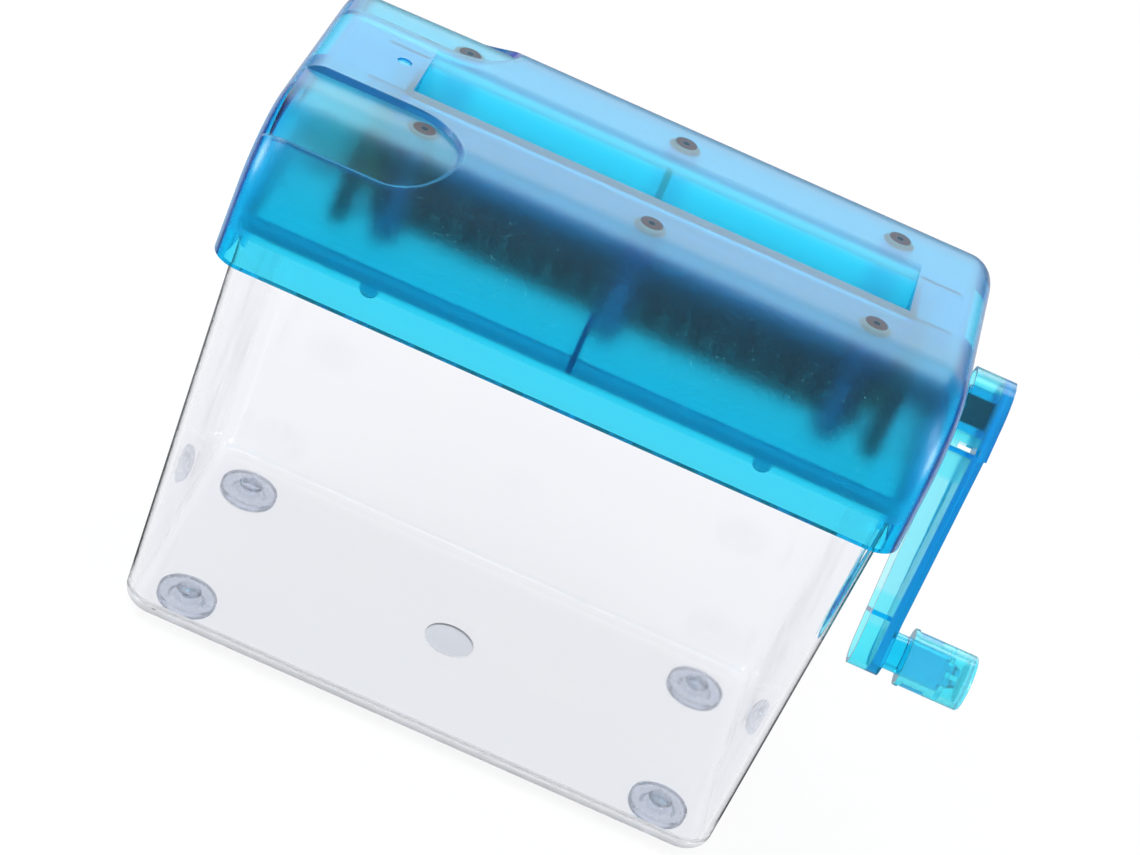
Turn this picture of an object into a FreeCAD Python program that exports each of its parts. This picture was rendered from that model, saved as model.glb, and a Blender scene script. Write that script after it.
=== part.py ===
import FreeCAD, Part
import math
import os

# Hand-crank desktop paper shredder. Millimetres, +Z up, front towards -Y, crank on +X.
# Origin: centre of the footprint, on the surface that the feet stand on.

# Head: the translucent cover that lifts off the bin
HEAD_LENGTH = 149.5
HEAD_DEPTH = 86.0
HEAD_TOP = 128.7
SKIRT_LENGTH = 7.3
SHOULDER_RADIUS = 20.0
END_ROUND = 6.5
COVER_WALL = 2.4
LEAST_ROUND = 0.5
EDGE_TOLERANCE = 0.001
JOIN_DEPTH = 0.15

# Finger scoops on the left end of both shoulders
SCOOP_LENGTH = 37.3
SCOOP_DEPTH = 1.7
SCOOP_TIP_DEPTH = 1.3
SCOOP_WIDTH = 23.5
SCOOP_REACH = 27.5
SCOOP_LEAN = 16.6
SCOOP_DRAFT = 25.0
SCOOP_SINK = 4.0
SCOOP_RISE = 8.0

# Paper hopper in the head's top
SLOT_LEFT_END = 23.25
SLOT_RIGHT_END = 16.65
SLOT_FRONT = 9.2
SLOT_REAR = 13.0
HOPPER_LIP_RADIUS = 16.0
HOPPER_LIP_SWEEP = 70.0
HOPPER_WALL = 1.6
THROAT_FRONT = 2.5
THROAT_KNEE = 1.0
HOPPER_END_RIB_LENGTH = 8.0
HOPPER_END_RIB_HEIGHT = 5.0
HOPPER_RIB_THICK = 1.0
GUSSET_THICK = 1.5
GUSSET_REACH = 9.5
GUSSET_OFFSET = 0.9

# Small round recess where the cover's plastic was let into the mould
SPRUE_RADIUS = 1.6
SPRUE_DEPTH = 0.4
SPRUE_FROM_SLOT = 4.6
SPRUE_Y = 1.1

# Screw posts under the top skin, two rows of three
POST_RADIUS = 3.4
POST_ROW_Y = 20.1
POST_INSET = 5.8
SCREW_RADIUS = 1.3
SCREW_LENGTH = 13.0
SCREW_HEAD_RADIUS = 2.8
SCREW_HEAD_HEIGHT = 1.8
PILOT_CLEARANCE = 0.05

# Lower frame that closes the head from below
FRAME_ROLLER_GAP = 0.7
FRAME_PLATE = 1.6
FRAME_EDGE_ROUND = 1.6
FRAME_INNER_ROUND = 1.0
FRAME_RIM_HEIGHT = 2.4
FRAME_RIM_WALL = 1.4
FRAME_CLEARANCE = 0.2
OUTLET_DEPTH = 16.0
LUG_RADIUS = 2.0
LUG_THICK = 0.9
LUG_SPACING = 85.0
FRONT_RIB_THICK = 1.2
FRONT_RIB_DEPTH = 5.0
FRONT_RIB_HEIGHT = 10.0
CHANNEL_WALL = 1.2
CHANNEL_HEIGHT = 4.0
SEAT_GAP = 0.05

# Cutter rollers
ROLLER_DROP = 20.2
ROLLER_SPACING = 9.6
NIP_FORWARD = 4.0
DISC_RADIUS = 5.5
STRIP_NOMINAL = 5.0
DISC_SIDE_GAP = 0.1
NOTCH_COUNT = 8
NOTCH_DEPTH = 0.7
NOTCH_LEAD = 1.2
SPACER_GAP = 0.6
HEX_FLATS = 5.0
KEY_CLEARANCE = 0.03

# Shafts, bushes and bearing plates
DRIVE_JOURNAL_RADIUS = 3.0
GEAR_JOURNAL_RADIUS = 2.5
NECK_RADIUS = 4.3
NECK_GAP = 0.4
RUNNING_CLEARANCE = 0.05
SHAFT_HOLE_GAP = 0.3
BUSH_RADIUS = 4.0
BUSH_FLANGE_RADIUS = 4.5
BUSH_FLANGE = 1.0
PLATE_THICK = 3.5
PLATE_DEPTH = 42.0
PLATE_TOP_GAP = 0.6
PLATE_CORNER = 6.0
STACK_END_PLAY = 1.0

# Stripper combs
COMB_FINGER_GAP = 0.6
COMB_ARC_GAP = 0.5
COMB_BAR_HEIGHT = 2.8
COMB_BAR_DEPTH = 3.0
COMB_TIP_FROM_NIP = 3.5
COMB_POST_GAP = 0.2
PEG_RADIUS = 1.2
PEG_LENGTH = 1.2
PEG_SPACING = 80.0

# Spur gears at the left end of the rollers
GEAR_TEETH = 18
GEAR_WIDTH = 8.0
GEAR_ADDENDUM = 0.9
GEAR_DEDENDUM = 1.25
GEAR_BACKLASH = 0.2
GEAR_PRESSURE = math.radians(20.0)
GEAR_FLANK_POINTS = 4
GEAR_KEY = 3.4
GEAR_SIDE_GAP = 0.4
RING_THICK = 0.7
RING_RADIUS = 3.4
RING_GROOVE_RADIUS = 1.2
RING_TIP_RADIUS = 1.65
RING_TIP_LENGTH = 2.0
RING_SIDE_GAP = 0.05
RING_MOUTH = 1.8

# Crank: a channel-section arm on a square drive, hanging forward at rest
CRANK_TILT = 30.0
CRANK_REACH = 52.2
CRANK_GAP = 2.4
CRANK_HUB_RADIUS = 9.0
CRANK_HUB_THICK = 8.8
CRANK_ARM_TAPER = 1.5
CRANK_ARM_STEP = 0.5
CRANK_END_RADIUS = 6.0
CRANK_WEB = 2.4
CRANK_FLANGE = 1.0
CRANK_RIB = 1.0
DRIVE_SQUARE = 6.0
SOCKET_WALL = 1.8
HUB_SLOT_LENGTH = 5.0
HUB_SLOT_WIDTH = 1.4
HUB_SLOT_DROP = 7.7

# Knob and the spindle that it turns on
SPINDLE_RADIUS = 4.1
KNOB_GAP = 3.8
KNOB_RADIUS = 6.1
KNOB_LENGTH = 14.4
KNOB_COLLAR_RADIUS = 6.4
KNOB_COLLAR = 0.9
KNOB_END_WALL = 1.4
KNOB_END_ROUND = 0.8
KNOB_CLEARANCE = 0.1
KNOB_BORE_DEPTH = 8.6
KNOB_WEB = 1.0
SNAP_RADIUS = 2.55
SNAP_BULGE = 0.5
SNAP_LENGTH = 2.2
SNAP_SLOT = 1.0
KNOB_WALL = 1.4
KNOB_WINDOW_LENGTH = 5.0
KNOB_WINDOW_WIDTH = 1.2
KNOB_WINDOW_GAP = 0.6

# Bin
BIN_MOUTH_GAP_X = 0.55
BIN_MOUTH_GAP_Y = 1.4
BIN_TAPER_X = 2.1
BIN_TAPER_Y = 0.7
BIN_WALL = 1.8
BIN_FLOOR = 2.0
BIN_CORNER = 7.0
BIN_BASE_ROUND = 4.0
BIN_SEAT_GAP = 0.1
GATE_RADIUS = 5.7
GATE_DEPTH = 0.5

# Push-in feet
FOOT_RADIUS = 6.6
FOOT_HEIGHT = 2.4
FOOT_EDGE = 0.9
FOOT_STEM_RADIUS = 1.9
FOOT_STEM_CLEARANCE = 0.05
FOOT_BUTTON_RADIUS = 2.8
FOOT_BUTTON_HEIGHT = 1.6
FOOT_INSET_X = 12.4
FOOT_INSET_Y = 14.35
FOOT_CUP_RADIUS = 4.2
FOOT_CUP_DEPTH = 0.8

# Places worked out from the sizes above
OVERCUT = 1.0
AXIS_X = FreeCAD.Vector(1, 0, 0)
AXIS_Y = FreeCAD.Vector(0, 1, 0)
AXIS_Z = FreeCAD.Vector(0, 0, 1)
HEAD_INNER_TOP = HEAD_TOP - COVER_WALL
HEAD_INNER_X = HEAD_LENGTH / 2 - COVER_WALL
HEAD_INNER_Y = HEAD_DEPTH / 2 - COVER_WALL
SLOT_LENGTH = HEAD_LENGTH - SLOT_LEFT_END - SLOT_RIGHT_END
SLOT_CENTRE_X = (SLOT_LEFT_END - SLOT_RIGHT_END) / 2
ROLLER_Z = HEAD_TOP - ROLLER_DROP
NIP_Y = -NIP_FORWARD
DISC_COUNT = round(SLOT_LENGTH / (2 * STRIP_NOMINAL))
DISC_PITCH = SLOT_LENGTH / DISC_COUNT
STRIP_WIDTH = DISC_PITCH / 2
DISC_THICK = STRIP_WIDTH - 2 * DISC_SIDE_GAP
SPACER_RADIUS = ROLLER_SPACING - DISC_RADIUS - SPACER_GAP
HEX_CORNER = HEX_FLATS / math.sqrt(3)
POST_SPACING = SLOT_LENGTH / 2 - POST_INSET
STACK_LEFT = SLOT_CENTRE_X - SLOT_LENGTH / 2 - STACK_END_PLAY
STACK_RIGHT = SLOT_CENTRE_X + SLOT_LENGTH / 2 + STACK_END_PLAY
LEFT_PLATE_X = STACK_LEFT - BUSH_FLANGE - PLATE_THICK
RIGHT_PLATE_X = STACK_RIGHT + BUSH_FLANGE
GEAR_RIGHT = LEFT_PLATE_X - SEAT_GAP - CHANNEL_WALL - GEAR_SIDE_GAP
GEAR_LEFT = GEAR_RIGHT - GEAR_WIDTH
FRAME_TOP = ROLLER_Z - DISC_RADIUS - FRAME_ROLLER_GAP
FRAME_BOTTOM = FRAME_TOP - FRAME_PLATE
SKIRT_BOTTOM = FRAME_BOTTOM - SKIRT_LENGTH
HOPPER_BOTTOM = ROLLER_Z + DISC_RADIUS + SPACER_GAP
END_RIB_BOTTOM = HEAD_INNER_TOP - HOPPER_END_RIB_HEIGHT
CRANK_INNER_X = HEAD_LENGTH / 2 + CRANK_GAP
CRANK_OUTER_X = CRANK_INNER_X + CRANK_HUB_THICK
ARM_OUTER_X = CRANK_OUTER_X - CRANK_ARM_STEP
ARM_END_X = ARM_OUTER_X - CRANK_ARM_TAPER
KNOB_LEFT = ARM_END_X + KNOB_GAP
BIN_TOP = FRAME_BOTTOM - BIN_SEAT_GAP
BIN_RISE = BIN_TOP - FOOT_HEIGHT
BIN_LEAN_X = math.tan(math.radians(BIN_TAPER_X))
BIN_LEAN_Y = math.tan(math.radians(BIN_TAPER_Y))
BIN_BASE_X = HEAD_INNER_X - BIN_MOUTH_GAP_X - BIN_RISE * BIN_LEAN_X
BIN_BASE_Y = HEAD_INNER_Y - BIN_MOUTH_GAP_Y - BIN_RISE * BIN_LEAN_Y
FOOT_X = BIN_BASE_X - FOOT_INSET_X
FOOT_Y = BIN_BASE_Y - FOOT_INSET_Y


def point(x, y, z):
    return FreeCAD.Vector(x, y, z)


def box(x0, x1, y0, y1, z0, z1):
    return Part.makeBox(x1 - x0, y1 - y0, z1 - z0, point(x0, y0, z0))


def rod_x(radius, x0, x1, y, z):
    return Part.makeCylinder(radius, x1 - x0, point(x0, y, z), AXIS_X)


def rod_z(radius, z0, z1, x, y):
    return Part.makeCylinder(radius, z1 - z0, point(x, y, z0), AXIS_Z)


def wire_of(curves):
    return Part.Wire([curve.toShape() for curve in curves])


def prism_x(points_yz, x0, x1):
    corners = [point(x0, y, z) for y, z in points_yz]
    face = Part.Face(Part.makePolygon(corners + corners[:1]))
    return face.extrude(point(x1 - x0, 0, 0))


def square_bar(side, x0, x1, y, z):
    return box(x0, x1, y - side / 2, y + side / 2, z - side / 2, z + side / 2)


def hex_bar(flats, x0, x1, y, z):
    corner = flats / math.sqrt(3)
    turns = [math.radians(60 * step) for step in range(6)]
    outline = [(y + corner * math.cos(turn), z + corner * math.sin(turn)) for turn in turns]
    return prism_x(outline, x0, x1)


def roller_y(side):
    """Y of a roller's axis: front roller -1, rear roller with the crank 1."""
    return NIP_Y + side * ROLLER_SPACING / 2


def joined(first, others):
    return first.multiFuse(others).removeSplitter()


def rounded_rectangle(half_x, half_y, corner, z):
    """Face with four round corners, level at z."""
    flat_x = half_x - corner
    flat_y = half_y - corner
    bow = corner * math.sqrt(0.5)
    curves = []
    for sx, sy in ((1, -1), (1, 1), (-1, 1), (-1, -1)):
        across = point(sx * half_x, sy * flat_y, z)
        along = point(sx * flat_x, sy * half_y, z)
        middle = point(sx * (flat_x + bow), sy * (flat_y + bow), z)
        start, end = (along, across) if sx * sy < 0 else (across, along)
        curves.append(Part.Arc(start, middle, end))
    loop = []
    for index, arc in enumerate(curves):
        following = curves[(index + 1) % len(curves)]
        loop.append(arc)
        loop.append(Part.LineSegment(arc.EndPoint, following.StartPoint))
    return Part.Face(wire_of(loop))


def head_profile(inset, bottom, x):
    """Y-Z section of the head: straight front and rear, round shoulders, flat top."""
    half = HEAD_DEPTH / 2 - inset
    top = HEAD_TOP - inset
    radius = SHOULDER_RADIUS - inset
    spring = top - radius
    flat = half - radius
    bow = radius * math.sqrt(0.5)
    curves = [
        Part.LineSegment(point(x, -half, bottom), point(x, -half, spring)),
        Part.Arc(point(x, -half, spring), point(x, -flat - bow, spring + bow), point(x, -flat, top)),
        Part.LineSegment(point(x, -flat, top), point(x, flat, top)),
        Part.Arc(point(x, flat, top), point(x, flat + bow, spring + bow), point(x, half, spring)),
        Part.LineSegment(point(x, half, spring), point(x, half, bottom)),
        Part.LineSegment(point(x, half, bottom), point(x, -half, bottom)),
    ]
    return Part.Face(wire_of(curves))


def head_form(inset, bottom):
    """The head's outer form, or the same form set in by a wall, with rounded ends."""
    half = HEAD_LENGTH / 2 - inset
    solid = head_profile(inset, bottom, -half).extrude(point(2 * half, 0, 0))
    rounding = max(END_ROUND - inset, LEAST_ROUND)
    rim = []
    for edge in solid.Edges:
        box_of = edge.BoundBox
        on_end = box_of.XLength < EDGE_TOLERANCE
        on_bottom = box_of.ZMax < bottom + EDGE_TOLERANCE
        if on_end and not on_bottom:
            rim.append(edge)
    return solid.makeFillet(rounding, rim)


def scoop_axes(side):
    """Directions of a scoop's chord plane: out of the surface, and down along the shoulder."""
    lean = math.radians(SCOOP_LEAN)
    outward = point(0, side * math.sin(lean), math.cos(lean))
    downhill = point(0, side * math.cos(lean), -math.sin(lean))
    return outward, downhill


def scoop_wire(side, height):
    """Tongue outline at a height above the scoop's chord plane, wider the further out it lies."""
    outward, downhill = scoop_axes(side)
    half = SCOOP_WIDTH / 2
    radius = half + height * math.tan(math.radians(SCOOP_DRAFT))
    left = -HEAD_LENGTH / 2
    edge = point(left + SCOOP_LENGTH - half, side * (HEAD_DEPTH / 2 - SCOOP_REACH), HEAD_TOP)
    middle = edge + downhill * half + outward * height
    upper = middle - downhill * radius
    lower = middle + downhill * radius
    straight = point(left - OVERCUT - middle.x, 0, 0)
    return wire_of([
        Part.LineSegment(lower + straight, upper + straight),
        Part.LineSegment(upper + straight, upper),
        Part.Arc(upper, middle + AXIS_X * radius, lower),
        Part.LineSegment(lower, lower + straight),
    ])


def scoop(side):
    """Tongue-shaped scoop over one shoulder with drafted walls, deepest at the left end."""
    outward, downhill = scoop_axes(side)
    tongue = Part.makeLoft([scoop_wire(side, -SCOOP_SINK), scoop_wire(side, SCOOP_RISE)], True, True)
    left = -HEAD_LENGTH / 2
    floor = head_profile(0, SKIRT_BOTTOM, left - SCOOP_LENGTH).extrude(point(3 * SCOOP_LENGTH, 0, 0))
    slope = math.degrees(math.atan2(SCOOP_DEPTH - SCOOP_TIP_DEPTH, SCOOP_LENGTH))
    floor.translate(outward * -SCOOP_TIP_DEPTH)
    floor.rotate(point(left + SCOOP_LENGTH, 0, HEAD_TOP), downhill, -side * slope)
    return tongue.cut(floor)


def hopper_outline(grow):
    """Y-Z outline of the paper hopper: sloped front, rear wall rolling over into the top skin."""
    sweep = math.radians(HOPPER_LIP_SWEEP)
    radius = HOPPER_LIP_RADIUS - grow
    centre_z = HEAD_TOP - HOPPER_LIP_RADIUS
    half = sweep / 2
    lip_top = point(0, SLOT_REAR, centre_z + radius)
    lip_mid = point(0, SLOT_REAR - radius * math.sin(half), centre_z + radius * math.cos(half))
    lip_end = point(0, SLOT_REAR - radius * math.sin(sweep), centre_z + radius * math.cos(sweep))
    drop = lip_end.z - HOPPER_BOTTOM
    rear_foot = point(0, lip_end.y - drop / math.tan(sweep), HOPPER_BOTTOM)
    front_foot = point(0, NIP_Y - THROAT_FRONT - grow, HOPPER_BOTTOM)
    front_knee = point(0, NIP_Y - THROAT_FRONT - grow, HOPPER_BOTTOM + THROAT_KNEE)
    front_top = point(0, -SLOT_FRONT - grow, HEAD_TOP - grow)
    curves = [
        Part.LineSegment(front_top, front_knee),
        Part.LineSegment(front_knee, front_foot),
        Part.LineSegment(front_foot, rear_foot),
        Part.LineSegment(rear_foot, lip_end),
        Part.Arc(lip_end, lip_mid, lip_top),
        Part.LineSegment(lip_top, front_top),
    ]
    return Part.Face(wire_of(curves))


def hopper_prism(grow, end_grow):
    left = SLOT_CENTRE_X - SLOT_LENGTH / 2 - end_grow
    face = hopper_outline(grow)
    face.translate(point(left, 0, 0))
    return face.extrude(point(SLOT_LENGTH + 2 * end_grow, 0, 0))


def hopper_mouth():
    """The open space of the hopper, carried on through the throat and out of the top."""
    left = SLOT_CENTRE_X - SLOT_LENGTH / 2
    right = SLOT_CENTRE_X + SLOT_LENGTH / 2
    inside = hopper_prism(0, 0)
    sweep = math.radians(HOPPER_LIP_SWEEP)
    lip_y = SLOT_REAR - HOPPER_LIP_RADIUS * math.sin(sweep)
    lip_z = HEAD_TOP - HOPPER_LIP_RADIUS * (1 - math.cos(sweep))
    throat_rear = lip_y - (lip_z - HOPPER_BOTTOM) / math.tan(sweep)
    throat = box(left, right, NIP_Y - THROAT_FRONT, throat_rear, HOPPER_BOTTOM - OVERCUT, lip_z)
    above = box(left, right, -SLOT_FRONT, SLOT_REAR, HEAD_TOP, HEAD_TOP + OVERCUT)
    return joined(inside, [throat, above])


def post_places():
    return [(SLOT_CENTRE_X + column * POST_SPACING, row * POST_ROW_Y)
            for row in (-1, 1) for column in (-1, 0, 1)]


def top_cover():
    outer = head_form(0, SKIRT_BOTTOM)
    cavity = head_form(COVER_WALL, SKIRT_BOTTOM - OVERCUT)
    shell = outer.cut(cavity)
    shell = shell.cut(Part.makeCompound([scoop(-1), scoop(1)]))
    post_bottom = FRAME_TOP + SEAT_GAP
    added = [hopper_prism(HOPPER_WALL, HOPPER_WALL)]
    for x, y in post_places():
        added.append(rod_z(POST_RADIUS, post_bottom, HEAD_INNER_TOP + JOIN_DEPTH, x, y))
    gusset_x = SLOT_CENTRE_X - GUSSET_OFFSET - GUSSET_THICK / 2
    added.append(box(gusset_x, gusset_x + GUSSET_THICK, 0, GUSSET_REACH,
                     HOPPER_BOTTOM, HEAD_INNER_TOP + JOIN_DEPTH))
    for end in (-1, 1):
        inner = SLOT_CENTRE_X + end * (SLOT_LENGTH / 2 + HOPPER_WALL / 2)
        outer_x = inner + end * (HOPPER_END_RIB_LENGTH + HOPPER_WALL / 2)
        low, high = sorted((inner, outer_x))
        for side in (-1, 1):
            near = side * SLOT_FRONT
            added.append(box(low, high, near - HOPPER_RIB_THICK / 2, near + HOPPER_RIB_THICK / 2,
                             END_RIB_BOTTOM, HEAD_INNER_TOP + JOIN_DEPTH))
    cover = joined(shell, added)
    pilot = SCREW_RADIUS + PILOT_CLEARANCE
    cuts = [hopper_mouth()]
    for x, y in post_places():
        cuts.append(rod_z(pilot, post_bottom - OVERCUT, HEAD_INNER_TOP, x, y))
    sprue_x = SLOT_CENTRE_X - SLOT_LENGTH / 2 - SPRUE_FROM_SLOT
    cuts.append(rod_z(SPRUE_RADIUS, HEAD_TOP - SPRUE_DEPTH, HEAD_TOP + OVERCUT, sprue_x, SPRUE_Y))
    shaft_hole = NECK_RADIUS + SHAFT_HOLE_GAP
    cuts.append(rod_x(shaft_hole, HEAD_INNER_X - OVERCUT, HEAD_LENGTH / 2 + OVERCUT, roller_y(1), ROLLER_Z))
    return cover.cut(Part.makeCompound(cuts))


def frame_rim(inset, z):
    corner = max(END_ROUND - COVER_WALL - FRAME_CLEARANCE - inset, LEAST_ROUND)
    half_x = HEAD_INNER_X - FRAME_CLEARANCE - inset
    half_y = HEAD_INNER_Y - FRAME_CLEARANCE - inset
    return rounded_rectangle(half_x, half_y, corner, z)


def comb_bar_y():
    """Outer and inner face of a comb's bar, measured from the middle of the head."""
    outer = POST_ROW_Y - POST_RADIUS - COMB_POST_GAP
    return outer, outer - COMB_BAR_DEPTH


def peg_places():
    outer, inner = comb_bar_y()
    middle = (outer + inner) / 2
    return [(SLOT_CENTRE_X + end * PEG_SPACING / 2, side * middle) for end in (-1, 1) for side in (-1, 1)]


def plate_channel(plate_x):
    """Two low walls that hold a bearing plate upright on the frame."""
    half = PLATE_DEPTH / 2 - PLATE_CORNER
    walls = []
    for start in (plate_x - SEAT_GAP - CHANNEL_WALL, plate_x + PLATE_THICK + SEAT_GAP):
        for side in (-1, 1):
            low, high = sorted((NIP_Y + side * half, NIP_Y + side * (half - PLATE_CORNER / 2)))
            walls.append(box(start, start + CHANNEL_WALL, low, high,
                             FRAME_TOP - SEAT_GAP, FRAME_TOP + CHANNEL_HEIGHT))
    return walls


def lower_frame():
    rim_top = FRAME_TOP + FRAME_RIM_HEIGHT
    tub = frame_rim(0, FRAME_BOTTOM).extrude(point(0, 0, rim_top - FRAME_BOTTOM))
    tub = round_base(tub, FRAME_EDGE_ROUND, FRAME_BOTTOM)
    hollow = frame_rim(FRAME_RIM_WALL, FRAME_TOP).extrude(point(0, 0, FRAME_RIM_HEIGHT + OVERCUT))
    tub = tub.cut(round_base(hollow, FRAME_INNER_ROUND, FRAME_TOP))
    wall_y = HEAD_INNER_Y - FRAME_CLEARANCE
    added = plate_channel(LEFT_PLATE_X) + plate_channel(RIGHT_PLATE_X)
    rib_front = -wall_y + FRAME_RIM_WALL / 2
    added.append(box(-FRONT_RIB_THICK / 2, FRONT_RIB_THICK / 2, rib_front, rib_front + FRONT_RIB_DEPTH,
                     FRAME_TOP - FRAME_PLATE / 2, FRAME_TOP + FRONT_RIB_HEIGHT))
    for side in (-1, 1):
        near, far = sorted((side * wall_y, side * (wall_y - LUG_THICK)))
        for end in (-1, 1):
            lug = Part.makeCylinder(LUG_RADIUS, far - near, point(end * LUG_SPACING / 2, near, FRAME_BOTTOM),
                                    AXIS_Y)
            added.append(lug)
    frame = joined(tub, added)
    outlet_half = OUTLET_DEPTH / 2
    left = SLOT_CENTRE_X - SLOT_LENGTH / 2
    cuts = [box(left, left + SLOT_LENGTH, NIP_Y - outlet_half, NIP_Y + outlet_half,
                FRAME_BOTTOM - LUG_RADIUS, FRAME_TOP + OVERCUT)]
    for x, y in post_places():
        cuts.append(rod_z(SCREW_RADIUS + FRAME_CLEARANCE, FRAME_BOTTOM - OVERCUT, FRAME_TOP + OVERCUT, x, y))
    for x, y in peg_places():
        cuts.append(rod_z(PEG_RADIUS + PILOT_CLEARANCE, FRAME_BOTTOM - OVERCUT, FRAME_TOP + OVERCUT, x, y))
    return frame.cut(Part.makeCompound(cuts)).cut(shaft_saddle())


def shaft_saddle():
    """U-shaped cut that lets the drive shaft out over the right end of the frame's rim."""
    half = NECK_RADIUS + SHAFT_HOLE_GAP
    y = roller_y(1)
    wall_x = HEAD_INNER_X - FRAME_CLEARANCE - FRAME_RIM_WALL
    low, high = wall_x - OVERCUT, HEAD_LENGTH / 2
    rounded = rod_x(half, low, high, y, ROLLER_Z)
    return joined(rounded, [box(low, high, y - half, y + half, ROLLER_Z, ROLLER_Z + 2 * half)])


def cover_screws():
    screws = []
    for x, y in post_places():
        head = rod_z(SCREW_HEAD_RADIUS, FRAME_BOTTOM - SCREW_HEAD_HEIGHT, FRAME_BOTTOM, x, y)
        low_rim = [edge for edge in head.Edges if edge.BoundBox.ZMax < FRAME_BOTTOM - SCREW_HEAD_HEIGHT / 2]
        head = head.makeFillet(SCREW_HEAD_HEIGHT / 2, low_rim)
        shank = rod_z(SCREW_RADIUS, FRAME_BOTTOM - SCREW_HEAD_HEIGHT / 2, FRAME_BOTTOM + SCREW_LENGTH, x, y)
        screws.append(joined(head, [shank]))
    return Part.makeCompound(screws)


def bearing_plate(plate_x):
    """Upright plate with two bores for the roller bushes and rounded upper corners."""
    top = END_RIB_BOTTOM - PLATE_TOP_GAP
    half = PLATE_DEPTH / 2
    plate = box(plate_x, plate_x + PLATE_THICK, NIP_Y - half, NIP_Y + half, FRAME_TOP, top)
    upper = []
    for edge in plate.Edges:
        frame_of = edge.BoundBox
        if frame_of.XLength > PLATE_THICK / 2 and frame_of.ZMin > top - PLATE_CORNER:
            upper.append(edge)
    plate = plate.makeFillet(PLATE_CORNER, upper)
    bores = [rod_x(BUSH_RADIUS + KEY_CLEARANCE, plate_x - OVERCUT, plate_x + PLATE_THICK + OVERCUT,
                   roller_y(side), ROLLER_Z) for side in (-1, 1)]
    return plate.cut(Part.makeCompound(bores))


def bush(plate_x, side, journal, inward):
    """Flanged bush pushed into a bearing plate from the roller side."""
    y = roller_y(side)
    body = rod_x(BUSH_RADIUS, plate_x, plate_x + PLATE_THICK, y, ROLLER_Z)
    flange_x = plate_x + PLATE_THICK if inward > 0 else plate_x - BUSH_FLANGE
    flange = rod_x(BUSH_FLANGE_RADIUS, flange_x, flange_x + BUSH_FLANGE, y, ROLLER_Z)
    low = min(plate_x, flange_x) - OVERCUT
    high = max(plate_x + PLATE_THICK, flange_x + BUSH_FLANGE) + OVERCUT
    bore = rod_x(journal + RUNNING_CLEARANCE, low, high, y, ROLLER_Z)
    return joined(body, [flange]).cut(bore)


def comb(side):
    """Stripper comb: a bar beside the roller with a finger in every gap between its discs."""
    y = roller_y(side)
    outer, inner = comb_bar_y()
    finger_thick = STRIP_WIDTH + 2 * DISC_SIDE_GAP - 2 * COMB_FINGER_GAP
    left = SLOT_CENTRE_X - SLOT_LENGTH / 2
    low, high = sorted((side * outer, side * inner))
    base = FRAME_TOP
    bar = box(left, left + SLOT_LENGTH, low, high, base, base + COMB_BAR_HEIGHT)
    arc_radius = SPACER_RADIUS + COMB_ARC_GAP
    tip = NIP_Y + side * COMB_TIP_FROM_NIP
    outline = [(side * outer, base), (tip, base), (tip, ROLLER_Z - arc_radius / 2), (y, ROLLER_Z),
               (side * outer, ROLLER_Z)]
    first = left + STRIP_WIDTH * (1.5 if side < 0 else 0.5) - finger_thick / 2
    finger = prism_x(outline, 0, finger_thick)
    finger = finger.cut(rod_x(arc_radius, -OVERCUT, finger_thick + OVERCUT, y, ROLLER_Z))
    parts = []
    for index in range(DISC_COUNT):
        copy = finger.copy()
        copy.translate(point(first + index * DISC_PITCH, 0, 0))
        parts.append(copy)
    for x, peg_y in peg_places():
        if peg_y * side > 0:
            parts.append(rod_z(PEG_RADIUS, base - PEG_LENGTH, base + COMB_BAR_HEIGHT / 2, x, peg_y))
    return joined(bar, parts)


def disc_centre(side, index):
    """X of a cutter disc: the two rollers' discs stand half a pitch apart and interleave."""
    return SLOT_CENTRE_X + side * STRIP_WIDTH / 2 + (index - (DISC_COUNT - 1) / 2) * DISC_PITCH


def cutter_disc():
    """One disc on the X axis, with pull-in notches in its rim and a hexagon hole."""
    disc = rod_x(DISC_RADIUS, 0, DISC_THICK, 0, 0)
    notch = prism_x([(DISC_RADIUS + OVERCUT, 0), (DISC_RADIUS - NOTCH_DEPTH, 0),
                     (DISC_RADIUS + OVERCUT, NOTCH_LEAD * (1 + OVERCUT / NOTCH_DEPTH))],
                    -OVERCUT, DISC_THICK + OVERCUT)
    cuts = [hex_bar(HEX_FLATS + 2 * KEY_CLEARANCE, -OVERCUT, DISC_THICK + OVERCUT, 0, 0)]
    for index in range(NOTCH_COUNT):
        copy = notch.copy()
        copy.rotate(point(0, 0, 0), AXIS_X, 360.0 * index / NOTCH_COUNT)
        cuts.append(copy)
    return disc.cut(Part.makeCompound(cuts))


def cutter_discs(side):
    disc = cutter_disc()
    if side > 0:
        disc = disc.mirror(point(0, 0, 0), AXIS_Y)
    stack = []
    for index in range(DISC_COUNT):
        copy = disc.copy()
        copy.translate(point(disc_centre(side, index) - DISC_THICK / 2, roller_y(side), ROLLER_Z))
        stack.append(copy)
    return Part.makeCompound(stack)


def spacers(side):
    """Round sleeves that fill the shaft between its discs and out to both bushes."""
    y = roller_y(side)
    starts = [STACK_LEFT]
    ends = []
    for index in range(DISC_COUNT):
        centre = disc_centre(side, index)
        ends.append(centre - DISC_THICK / 2)
        starts.append(centre + DISC_THICK / 2)
    ends.append(STACK_RIGHT)
    sleeves = []
    for start, end in zip(starts, ends):
        sleeve = rod_x(SPACER_RADIUS, start, end, y, ROLLER_Z)
        bore = rod_x(HEX_CORNER + KEY_CLEARANCE, start - OVERCUT, end + OVERCUT, y, ROLLER_Z)
        sleeves.append(sleeve.cut(bore))
    return Part.makeCompound(sleeves)


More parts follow.
